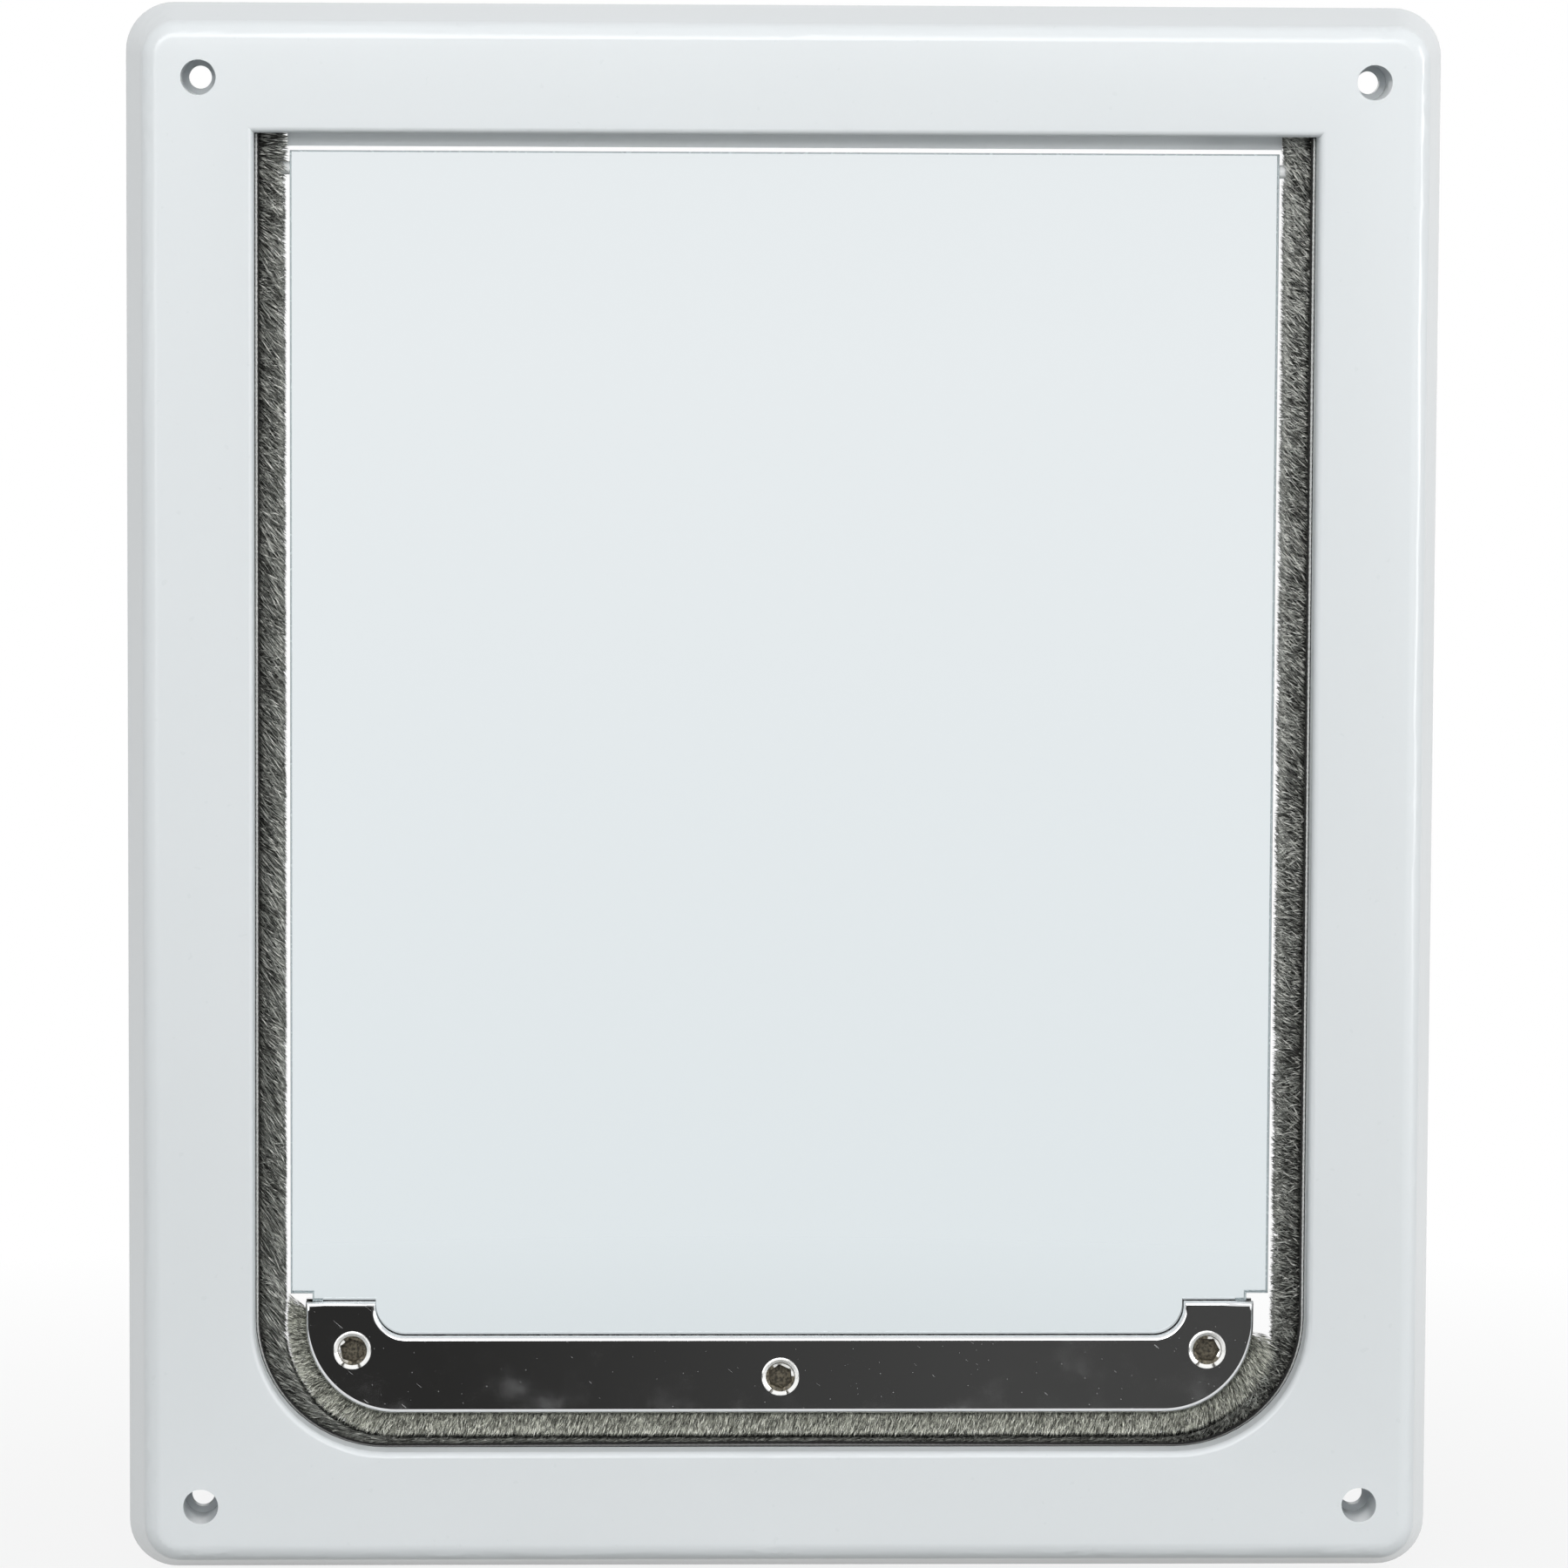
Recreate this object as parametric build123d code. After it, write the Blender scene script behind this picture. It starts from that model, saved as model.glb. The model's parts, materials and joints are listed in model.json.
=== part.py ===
from build123d import *
import os

# Pet door with a clear two-way flap. X is to the right, Y runs from the viewer's side through the door,
# Z is up. Y = 0 is the door's face, and the origin is the centre of the four screw holes on it.

# Frame: rim, hollow back and tunnel in one moulding
frame_width = 300.0
frame_height = 360.0
frame_corner_radius = 11.0
front_corner_radius = 7.5
rim_depth = 18.0
rim_slope = 4.9
front_edge_radius = 4.4
wall = 2.6
rim_width = 28.0
opening_edge_chamfer = 1.4
opening_corner_radius = 30.0
tunnel_length = 20.0
top_lip_drop = 3.0

# Stiffening ribs in the hollow back
rib_thickness = 2.0
rib_setback = 5.0
cross_rib_count = 4
upright_rib_count = 3

# Screw tubes at the corners
screw_inset = 17.0
screw_hole_diameter = 5.2
screw_head_diameter = 8.0
screw_floor = 3.0
screw_tube_wall = 2.0

# Flap panel and its stub axles
flap_side_gap = 7.9
flap_thickness = 4.0
flap_front_setback = 12.0
flap_top_gap = 1.0
axle_diameter = 3.0
axle_below_top = 4.0
axle_running_clearance = 0.05
axle_end_play = 0.4

# Hinge sockets
socket_diameter = 8.0
socket_flange_diameter = 11.0
socket_bore_past_wall = 1.2
socket_end_wall = 1.0

# Weight plates
plate_side_inset = 3.5
plate_thickness = 2.2
plate_edge_chamfer = 0.8
plate_floor_gap = 7.4
plate_corner_radius = 20.7
bar_height = 17.8
ear_width = 16.0
ear_rise = 8.0
ledge_above_ears = 1.8
ledge_inset = 1.5

# Brush between the plates
brush_root = 3.5
brush_past_flap = 0.5
brush_floor_gap = 1.8
brush_corner_radius = 25.0
brush_left_end_drop = 0.0
brush_right_end_drop = 7.4

# Pile strip in the tunnel
pile_backing_thickness = 1.0
pile_backing_width = 12.0
pile_width = 8.0
pile_clearance = 0.3
pile_axle_clearance = 0.5

# Rivets
rivet_shank_diameter = 7.0
rivet_hole_clearance = 0.05
rivet_collar_diameter = 8.6
rivet_collar_height = 1.0
rivet_collar_face_diameter = 6.9
rivet_head_diameter = 11.0
rivet_head_height = 1.6
rivet_head_face_diameter = 8.6
rivet_recess_across_corners = 6.2
rivet_recess_depth = 6.0
ear_rivet_from_edge = 10.7
ear_rivet_above_bottom = 14.8
middle_rivet_above_bottom = 8.6

# Places that follow from the sizes above
front_face = -rim_depth
opening_width = frame_width - 2 * (rim_width + opening_edge_chamfer)
opening_height = frame_height - 2 * (rim_width + opening_edge_chamfer)
opening_top = opening_height / 2
opening_floor = -opening_height / 2
flap_width = opening_width - 2 * flap_side_gap
flap_front = front_face + flap_front_setback
flap_back = flap_front + flap_thickness
flap_middle = (flap_front + flap_back) / 2
flap_top = opening_top - top_lip_drop - flap_top_gap
axle_height = flap_top - axle_below_top
plate_width = flap_width - 2 * plate_side_inset
plate_bottom = opening_floor + plate_floor_gap
bar_top = plate_bottom + bar_height
plate_top = bar_top + ear_rise
plate_front = flap_front - plate_thickness
plate_back = flap_back + plate_thickness
wall_outside = opening_width / 2 + wall
overcut = 1.0


def door_plane(depth):
    """Plane parallel to the door at a depth: its X is X, its Y is Z, and it faces the viewer."""
    return Plane((0, depth, 0), x_dir=(1, 0, 0), z_dir=(0, -1, 0))


def slab(outline, front, back):
    """Prism of a flat outline between two depths."""
    return extrude(door_plane(back) * outline, back - front)


def rod(diameter, x, z, front, back):
    """Round bar square to the door, between two depths."""
    return slab(Pos(x, z) * Circle(diameter / 2), front, back)


def tapered_rod(front_diameter, back_diameter, x, z, front, back):
    """Round bar square to the door, with its own diameter at each of two depths."""
    cone = Cone(back_diameter / 2, front_diameter / 2, back - front)
    return Pos(x, (front + back) / 2, z) * Rot(90, 0, 0) * cone


def round_lower_corners(outline, radius):
    """The outline with its two lowest corners rounded."""
    return fillet(outline.vertices().sort_by(Axis.Y)[:2], radius)


def upright(half_width, bottom, top):
    """Rectangle between two heights, centred across the door."""
    return Pos(0, (bottom + top) / 2) * Rectangle(2 * half_width, top - bottom)


def opening_outline(grow=0.0):
    """The tunnel's clear outline, square at the top and round at the bottom, grown by a wall."""
    outline = Rectangle(opening_width + 2 * grow, opening_height + 2 * grow)
    return round_lower_corners(outline, opening_corner_radius + grow)


def screw_places():
    """Centres of the four screw holes."""
    across = frame_width / 2 - screw_inset
    up = frame_height / 2 - screw_inset
    return [(x, z) for x in (-across, across) for z in (-up, up)]


def rim_block(inset, front):
    """The rim as a solid block with sloped sides, drawn in by an inset, from the door to a depth."""
    lean = rim_slope * front / front_face
    blend = front / front_face
    corner = frame_corner_radius + (front_corner_radius - frame_corner_radius) * blend
    back_outline = RectangleRounded(
        frame_width - 2 * inset, frame_height - 2 * inset, frame_corner_radius - inset
    )
    front_outline = RectangleRounded(
        frame_width - 2 * (inset + lean), frame_height - 2 * (inset + lean), corner - inset
    )
    return loft([door_plane(0) * back_outline, door_plane(front) * front_outline])


def evenly(count, length):
    """Centres of equal shares of a length, about its middle."""
    return [(k + 0.5) * length / count - length / 2 for k in range(count)]


def stiffening_ribs(block):
    """Ribs that tie the tunnel to the rim's outer wall, cut out of bars laid right across the frame."""
    depth = rim_depth - wall / 2 - rib_setback
    middle = front_face + wall / 2 + depth / 2
    ribs = [
        Pos(0, middle, z) * Box(frame_width, depth, rib_thickness)
        for z in evenly(cross_rib_count, opening_height)
    ]
    ribs += [
        Pos(x, middle, 0) * Box(rib_thickness, depth, frame_height)
        for x in evenly(upright_rib_count, opening_width)
    ]
    hole = slab(opening_outline(wall / 2), front_face - overcut, overcut)
    return [(rib & block) - hole for rib in ribs]


def frame():
    """Thin-walled rim with sloped, rounded sides, screw tubes, ribs, top lip and tunnel."""
    block = rim_block(0, front_face)
    block = fillet(block.faces().sort_by(Axis.Y)[0].edges(), front_edge_radius)
    shell = block - rim_block(wall, front_face + wall)
    shell += slab(opening_outline(wall), front_face + wall / 2, tunnel_length)
    for rib in stiffening_ribs(rim_block(wall / 2, front_face + wall / 2)):
        shell += rib
    for x, z in screw_places():
        shell += rod(screw_head_diameter + 2 * screw_tube_wall, x, z, front_face + wall / 2, 0)
    shell -= slab(opening_outline(), front_face - overcut, tunnel_length + overcut)
    face = shell.faces().sort_by(Axis.Y)[0]
    shell = chamfer(face.inner_wires()[0].edges(), opening_edge_chamfer)
    for x, z in screw_places():
        shell -= rod(screw_head_diameter, x, z, front_face - overcut, -screw_floor)
        shell -= rod(screw_hole_diameter, x, z, -screw_floor - overcut, overcut)
    lip = upright(flap_width / 2 + brush_past_flap, opening_top - top_lip_drop, opening_top + wall / 2)
    shell += slab(lip, flap_front, flap_back)
    seat = Pos(0, flap_middle, axle_height) * Rot(0, 90, 0)
    return shell - seat * Cylinder(socket_diameter / 2, 2 * (wall_outside + overcut))


def hinge_socket(side):
    """Flanged cup pushed in through a tunnel wall from outside, with a blind bore for the stub axle."""
    start = opening_width / 2
    end = wall_outside + socket_bore_past_wall + socket_end_wall
    profile = Polyline(
        (start, axle_diameter / 2 + axle_running_clearance),
        (start, socket_diameter / 2),
        (wall_outside, socket_diameter / 2),
        (wall_outside, socket_flange_diameter / 2),
        (end, socket_flange_diameter / 2),
        (end, 0),
        (end - socket_end_wall, 0),
        (end - socket_end_wall, axle_diameter / 2 + axle_running_clearance),
        close=True,
    )
    cup = Pos(0, flap_middle, axle_height) * revolve(make_face(profile), Axis.X)
    return cup if side > 0 else mirror(cup, Plane.YZ)


def plate_outline():
    """Bar with two raised ears, hollow curves between them and round lower corners."""
    outline = upright(plate_width / 2, plate_bottom, plate_top)
    outline = round_lower_corners(outline, plate_corner_radius)
    between_ears = upright(plate_width / 2 - ear_width, bar_top, bar_top + 2 * ear_rise)
    return outline - round_lower_corners(between_ears, ear_rise)


def brush_outline(grow=0.0):
    """Outer line of the brush tips, grown by a clearance, and open upwards."""
    outline = upright(
        flap_width / 2 + brush_past_flap + grow, opening_floor + brush_floor_gap - grow, frame_height
    )
    return round_lower_corners(outline, brush_corner_radius + grow)


def panel_foot():
    """Lower end of the panel between the plates: the plate's outline, drawn in by the brush's root."""
    foot = upright(plate_width / 2 - brush_root, plate_bottom + brush_root, plate_top)
    return round_lower_corners(foot, plate_corner_radius - brush_root)


def rivet_places():
    """Centres of the left, middle and right rivet."""
    across = plate_width / 2 - ear_rivet_from_edge
    ear_height = plate_bottom + ear_rivet_above_bottom
    return {
        "rivet_left": (-across, ear_height),
        "rivet_middle": (0.0, plate_bottom + middle_rivet_above_bottom),
        "rivet_right": (across, ear_height),
    }


def rivet_holes(front, back):
    """Clearance holes for the three rivets."""
    diameter = rivet_shank_diameter + 2 * rivet_hole_clearance
    return [rod(diameter, x, z, front - overcut, back + overcut) for x, z in rivet_places().values()]


def flap_panel():
    """Clear panel, notched above the plates, with a stub axle at each top corner."""
    ledge = plate_top + ledge_above_ears
    outline = upright(flap_width / 2, ledge, flap_top)
    outline += upright(plate_width / 2 - ledge_inset, plate_top, ledge)
    panel = slab(outline + panel_foot(), flap_front, flap_back)
    half_length = wall_outside + socket_bore_past_wall - axle_end_play
    for side in (-1, 1):
        middle = side * (half_length + flap_width / 2 - axle_diameter) / 2
        length = half_length - flap_width / 2 + axle_diameter
        axle = Rot(0, 90, 0) * Cylinder(axle_diameter / 2, length)
        panel += Pos(middle, flap_middle, axle_height) * axle
    return panel - rivet_holes(flap_front, flap_back)


def weight_plate(front, back, outer):
    """Chromed plate with its outward edges broken and three rivet holes."""
    plate = slab(plate_outline(), front, back)
    shown = plate.faces().sort_by(Axis.Y)[0 if outer == front else -1]
    plate = chamfer(shown.edges(), plate_edge_chamfer)
    return plate - rivet_holes(front, back)


def flap_brush():
    """Brush clamped round the panel's foot, with its ends at two heights."""
    band = brush_outline() - panel_foot()
    left_end = upright(frame_width / 2, -frame_height, plate_top - brush_left_end_drop)
    right_end = upright(frame_width / 2, -frame_height, plate_top - brush_right_end_drop)
    left_half = Pos(-frame_width / 2, 0) * Rectangle(frame_width, 2 * frame_height)
    right_half = Pos(frame_width / 2, 0) * Rectangle(frame_width, 2 * frame_height)
    keep = (left_end & left_half) + (right_end & right_half)
    return slab(band & keep, flap_front, flap_back)


def frame_pile_seal():
    """Woven backing on the tunnel wall with a narrower pile, whose tips follow the brush and the flap."""
    backing_line = opening_outline(-pile_backing_thickness)
    above = upright(opening_width / 2 - pile_backing_thickness, 0, opening_top)
    backing = opening_outline() - backing_line - above
    pile = opening_outline() - brush_outline(pile_clearance)
    strip = slab(backing, flap_middle - pile_backing_width / 2, flap_middle + pile_backing_width / 2)
    strip += slab(pile, flap_middle - pile_width / 2, flap_middle + pile_width / 2)
    room = Rot(0, 90, 0) * Cylinder(axle_diameter / 2 + pile_axle_clearance, frame_width)
    return strip - Pos(0, flap_middle, axle_height) * room


def rivet(x, z):
    """Hollow rivet: low cone head behind, shank through the stack, rolled collar and recess in front."""
    collar_front = plate_front - rivet_collar_height
    head_back = plate_back + rivet_head_height
    collar = tapered_rod(rivet_collar_face_diameter, rivet_collar_diameter, x, z, collar_front, plate_front)
    head = tapered_rod(rivet_head_diameter, rivet_head_face_diameter, x, z, plate_back, head_back)
    body = collar + rod(rivet_shank_diameter, x, z, plate_front, plate_back) + head
    socket = Pos(x, z) * RegularPolygon(rivet_recess_across_corners / 2, 6)
    return body - slab(socket, collar_front - overcut, collar_front + rivet_recess_depth)


def pieces():
    """Every piece of the pet door, by name."""
    named = {
        "frame": frame(),
        "hinge_socket_left": hinge_socket(-1),
        "hinge_socket_right": hinge_socket(1),
        "frame_pile_seal": frame_pile_seal(),
        "flap_panel": flap_panel(),
        "front_weight_plate": weight_plate(plate_front, flap_front, plate_front),
        "rear_weight_plate": weight_plate(flap_back, plate_back, plate_back),
        "flap_brush": flap_brush(),
    }
    for name, (x, z) in rivet_places().items():
        named[name] = rivet(x, z)
    return named


os.makedirs("parts", exist_ok=True)
for name, shape in pieces().items():
    export_step(shape, f"parts/{name}.step")
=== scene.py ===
"""Pet door: a white moulded frame with a clear flap, weighted and brushed along its lower edge."""

import json
import math

import bpy
import numpy as np
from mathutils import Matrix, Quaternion, Vector


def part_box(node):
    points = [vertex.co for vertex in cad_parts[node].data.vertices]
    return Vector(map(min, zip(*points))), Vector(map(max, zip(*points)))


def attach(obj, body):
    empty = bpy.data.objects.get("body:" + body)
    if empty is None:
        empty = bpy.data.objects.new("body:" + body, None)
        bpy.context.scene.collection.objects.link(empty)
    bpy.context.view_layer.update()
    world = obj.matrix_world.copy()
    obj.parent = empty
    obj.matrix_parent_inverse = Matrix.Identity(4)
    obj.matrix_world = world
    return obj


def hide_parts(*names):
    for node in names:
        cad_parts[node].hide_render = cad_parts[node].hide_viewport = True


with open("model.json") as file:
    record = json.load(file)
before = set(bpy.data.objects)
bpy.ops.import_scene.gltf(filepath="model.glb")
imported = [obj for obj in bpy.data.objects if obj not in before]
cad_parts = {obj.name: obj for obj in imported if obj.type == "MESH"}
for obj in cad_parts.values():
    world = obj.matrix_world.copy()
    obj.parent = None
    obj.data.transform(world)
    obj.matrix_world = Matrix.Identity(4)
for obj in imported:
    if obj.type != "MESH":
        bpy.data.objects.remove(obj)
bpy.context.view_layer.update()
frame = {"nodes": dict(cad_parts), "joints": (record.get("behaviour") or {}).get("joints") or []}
scene = bpy.context.scene
mm = 0.001


# Frame: one injection moulding in glossy white plastic, a wide sloped rim round a short tunnel.
# Four screws go through its corners into the door leaf, and ribs stiffen its hollow back.
white_moulding = (0.795, 0.822, 0.838, 1)
dusty_moulding = (0.70, 0.735, 0.745, 1)
frame_roughness = 0.2
rounded_edge_limit = math.radians(50)
facet_join_distance = 0.002 * mm


class Tone:
    """One socket of a material. Arithmetic on tones and numbers adds Math nodes; node() adds any other."""

    def __init__(self, tree, socket=None):
        self.tree = tree
        self.socket = socket

    def node(self, kind, settings=None, sockets=None, out=0):
        """Add a node: its settings first, then a value or a link for each named or numbered socket."""
        made = self.tree.nodes.new("ShaderNode" + kind)
        for key, value in (settings or {}).items():
            if key == "stops":
                ramp = made.color_ramp.elements
                while len(ramp) < len(value):
                    ramp.new(1)
                for stop, (place, colour) in zip(ramp, value):
                    stop.position = place
                    stop.color = colour
            else:
                setattr(made, key, value)
        for key, value in (sockets or {}).items():
            if isinstance(value, Tone):
                self.tree.links.new(value.socket, made.inputs[key])
            else:
                made.inputs[key].default_value = value
        return Tone(self.tree, made.outputs[out] if made.outputs else None)

    def place(self):
        """Where a point lies on the object, from the object's origin."""
        return self.node("TexCoord", out="Object")

    def blend(self, share, first, second):
        """A colour that goes from the first to the second as the share goes from nothing to one."""
        return self.node("Mix", {"data_type": "RGBA"}, {0: share, 6: first, 7: second}, out=2)

    def rise(self, value, start, end):
        """Nothing at the start value, one at the end value, even in between and level past both."""
        return self.node("MapRange", sockets={0: value, 1: start, 2: end, 3: 0.0, 4: 1.0})

    def surface(self, sockets):
        """The material's surface, with these sockets set."""
        shader = self.node("BsdfPrincipled", sockets=sockets)
        self.node("OutputMaterial", sockets={"Surface": shader})

    def math(self, operation, first, second):
        return self.node("Math", {"operation": operation}, {0: first, 1: second})

    def __add__(self, other):
        return self.math("ADD", self, other)

    def __sub__(self, other):
        return self.math("SUBTRACT", self, other)

    def __rsub__(self, other):
        return self.math("SUBTRACT", other, self)

    def __mul__(self, other):
        return self.math("MULTIPLY", self, other)

    def __gt__(self, other):
        return self.math("GREATER_THAN", self, other)

    def __or__(self, other):
        return self.math("MAXIMUM", self, other)

    __radd__ = __add__
    __rmul__ = __mul__
    __ror__ = __or__


def new_finish(name):
    """An empty material and the tone that adds its nodes."""
    material = bpy.data.materials.new(name)
    material.use_nodes = True
    material.node_tree.nodes.clear()
    return material, Tone(material.node_tree)


def moulded_plastic(name, clean, dusty, roughness):
    """Smooth moulding: a faint cloud of handling dust over the colour, and the slight ripple of cooled
    plastic."""
    material, tone = new_finish(name)
    place = tone.place()
    cloud = tone.node("TexNoise", sockets={"Vector": place, "Scale": 14, "Detail": 4})
    specks = tone.node("TexNoise", sockets={"Vector": place, "Scale": 420, "Detail": 1})
    ripple = tone.node("TexNoise", sockets={"Vector": place, "Scale": 260, "Detail": 2})
    dust = 0.35 * cloud + 0.25 * (specks > 0.77)
    relief = tone.node("Bump", sockets={"Strength": 0.05, "Distance": 0.2 * mm, "Height": ripple})
    tone.surface(
        {
            "Base Color": tone.blend(dust, clean, dusty),
            "Roughness": roughness + 0.08 * cloud,
            "Normal": relief,
        }
    )
    return material


def smooth_copy(node, name, material):
    """Copy of a solid's mesh with its loose triangles joined: smooth over rounded edges, sharp at corners."""
    mesh = frame["nodes"][node].data.copy()
    mesh.name = name
    piece = bpy.data.objects.new(name, mesh)
    scene.collection.objects.link(piece)
    weld = piece.modifiers.new("joined_facets", "WELD")
    weld.merge_threshold = facet_join_distance
    graph = bpy.context.evaluated_depsgraph_get()
    joined = bpy.data.meshes.new_from_object(piece.evaluated_get(graph))
    piece.modifiers.remove(weld)
    piece.data = joined
    joined.name = name
    joined.attributes.remove(joined.attributes["custom_normal"])
    joined.shade_smooth()
    joined.set_sharp_from_angle(angle=rounded_edge_limit)
    joined.materials.clear()
    joined.materials.append(material)
    even = piece.modifiers.new("flat_faces_stay_flat", "WEIGHTED_NORMAL")
    even.keep_sharp = True
    return piece


frame_plastic = moulded_plastic("white_moulding", white_moulding, dusty_moulding, frame_roughness)
frame_shell = smooth_copy("frame", "frame_shell", frame_plastic)
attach(frame_shell, "door_frame")
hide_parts("frame")


# Hinge sockets: two small flanged cups of slippery off-white plastic.
# Each is pushed into a tunnel wall from outside, and the flap's stub axle turns in it.
socket_white = (0.66, 0.68, 0.68, 1)
socket_grime = (0.50, 0.51, 0.50, 1)
socket_roughness = 0.34

socket_plastic = moulded_plastic("slippery_socket_plastic", socket_white, socket_grime, socket_roughness)
for side in ("left", "right"):
    cup = smooth_copy("hinge_socket_" + side, "socket_cup_" + side, socket_plastic)
    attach(cup, "door_frame")
    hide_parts("hinge_socket_" + side)


# Pile seal: dark nylon pile woven into a backing tape, the kind sold by the metre as draught strip.
# The tape is glued to the tunnel's two sides and floor, and a pale selvedge thread runs along its front
# edge. Starts, stretches and heights of fibres are shares of the way from root to tip.
tunnel_corner_radius = 30 * mm
tip_corner_radius = 25.3 * mm
tip_clearance = 0.3 * mm
pile_half_width = 4 * mm
pile_fan = 1.1
fibres_per_run = 30000
pile_fibre_width = 0.23 * mm
fibre_width_range = (0.6, 1.7)
fibre_belly = 0.6
pile_start_range = (-0.2, 0.72)
pile_stretch_range = (0.28, 0.6)
pile_lowest_start = 0.08
pile_height_mean, pile_height_scatter = 0.97, 0.03
pile_height_limits = (0.9, 1)
growth_above_flap = 0.12
pile_slant = 5.5 * mm
slant_wander = 3 * mm
slant_scatter = 3 * mm
lock_width = 5 * mm
upright_end_length = 8 * mm
axle_room = 1.8 * mm
pile_crimp = 0.22 * mm
pile_crimp_low = (0.15, 0.5, 0.5)
pile_crimp_high = (0.06, 1, 1)
pile_shade_spread = (0.9, 1.4)
# Painted shade: pile fibres are darker towards their roots and lighter towards their tips.
pile_root_painted_shade, pile_tip_painted_light = 0.8, 0.35
shade_patch_width = 4 * mm
shade_patch_depth = 0.2
# Painted light and shade along the tunnel, from the top of the left side to the top of the right: the floor
# and its corners are painted darker, and the right side is painted lighter towards its top.
painted_light_and_shade_along_tunnel = [1.07, 1.02, 0.4, 0.32, 1.06, 2.1]
pile_colours = [
    (0.0, (0.05, 0.051, 0.045, 1)),
    (0.4, (0.33, 0.338, 0.308, 1)),
    (0.75, (0.60, 0.605, 0.562, 1)),
    (1.0, (0.80, 0.80, 0.752, 1)),
]
tape_thickness = 1 * mm
tape_glue_gap = 0.02 * mm
tape_rows = 700
tape_colour = (0.022, 0.022, 0.021, 1)
tape_roughness = 0.9
matted_height = 0.72
matted_width = 0.82
matted_roughness = 0.95
thread_shade = 0.55
# Woven parts darken between these two heights, towards the tunnel's floor.
floor_darkening_share = 0.16
darkening_from = -115 * mm
darkening_to = -148 * mm
selvedge_white = (0.86, 0.86, 0.84, 1)
selvedge_roughness = 0.8
selvedge_radius = 0.26 * mm
selvedge_standoff = 0.42 * mm
selvedge_end_gap = 0.3 * mm
selvedge_twist = 1.3 * mm
selvedge_ply_depth = 0.12
selvedge_sides = 6
rows_per_twist = 5

seal_low, seal_high = (np.array(corner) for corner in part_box("frame_pile_seal"))
brush_low, brush_high = (np.array(corner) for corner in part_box("flap_brush"))
flap_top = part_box("flap_panel")[1][2]
axle_height = frame["joints"][0]["pos_m"][2]
flap_plane = frame["joints"][0]["pos_m"][1]
random = np.random.default_rng(7)


def cup_line(share, half_width, floor, radius, left_top, right_top):
    """U-shaped line by share, as x and z: 0 to 1 runs down the left side, 1 to 2 round the left corner,
    2 to 3 along the floor, 3 to 4 round the right corner and 4 to 5 up the right side. Each run adds its own
    step: a straight one grows with the share, a corner is a quarter circle. Equal shares face each other."""
    run = np.clip(np.asarray(share)[:, None] - np.arange(5), 0, 1)
    turned = run * math.pi / 2
    low = floor + radius
    x = -half_width + radius * (1 - np.cos(turned[:, 1]))
    x = x + 2 * (half_width - radius) * run[:, 2] + radius * np.sin(turned[:, 3])
    z = left_top + (low - left_top) * run[:, 0] - radius * np.sin(turned[:, 1])
    z = z + radius * (1 - np.cos(turned[:, 3])) + (right_top - low) * run[:, 4]
    return np.stack([x, z], axis=1)


def cup_reach(half_width, floor, radius, left_top, right_top):
    """Length along a U-shaped line at the end of each of its five runs, from nothing at its start."""
    bend = radius * math.pi / 2
    low = floor + radius
    runs = [0, left_top - low, bend, 2 * (half_width - radius), bend, right_top - low]
    return np.cumsum(runs)


def cup_at(distance, reach, line):
    """Points on a U-shaped line at the shares that distances have on the line with these reaches."""
    return cup_line(np.interp(distance, reach, np.arange(6)), *line)


def smooth_wander(at, spacing, seed):
    """Slow random curve of about unit height: random heights at even spacing, joined by rounded steps."""
    heights = np.random.default_rng(seed).uniform(-1, 1, int(at.max() / spacing) + 3)
    place = at / spacing
    before = np.floor(place).astype(int)
    part = place - before
    part = part * part * (3 - 2 * part)
    return heights[before] * (1 - part) + heights[before + 1] * part


def new_piece(name, points, faces, material):
    """A smooth mesh at the origin from whole arrays: points, and one array of faces per number of corners."""
    mesh = bpy.data.meshes.new(name)
    points = np.asarray(points, np.float32).reshape(-1, 3)
    mesh.vertices.add(len(points))
    mesh.vertices.foreach_set("co", points.ravel())
    corners = np.concatenate([part.ravel() for part in faces]).astype(np.int32)
    counts = np.concatenate([np.full(len(part), part.shape[1]) for part in faces])
    starts = np.concatenate([[0], np.cumsum(counts)[:-1]]).astype(np.int32)
    mesh.loops.add(len(corners))
    mesh.loops.foreach_set("vertex_index", corners)
    mesh.polygons.add(len(starts))
    mesh.polygons.foreach_set("loop_start", starts)
    mesh.polygons.foreach_set("use_smooth", np.ones(len(starts), bool))
    mesh.update(calc_edges=True)
    mesh.materials.append(material)
    piece = bpy.data.objects.new(name, mesh)
    scene.collection.objects.link(piece)
    return piece


def tube_faces(rows, around, first=0):
    """Quads between rings of equal numbers of points, each ring after the one before, closed all round."""
    here = first + np.arange(rows - 1)[:, None] * around + np.arange(around)
    beside = first + np.arange(rows - 1)[:, None] * around + (np.arange(around) + 1) % around
    return np.stack([here, beside, beside + around, here + around], axis=-1).reshape(-1, 4)


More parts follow.
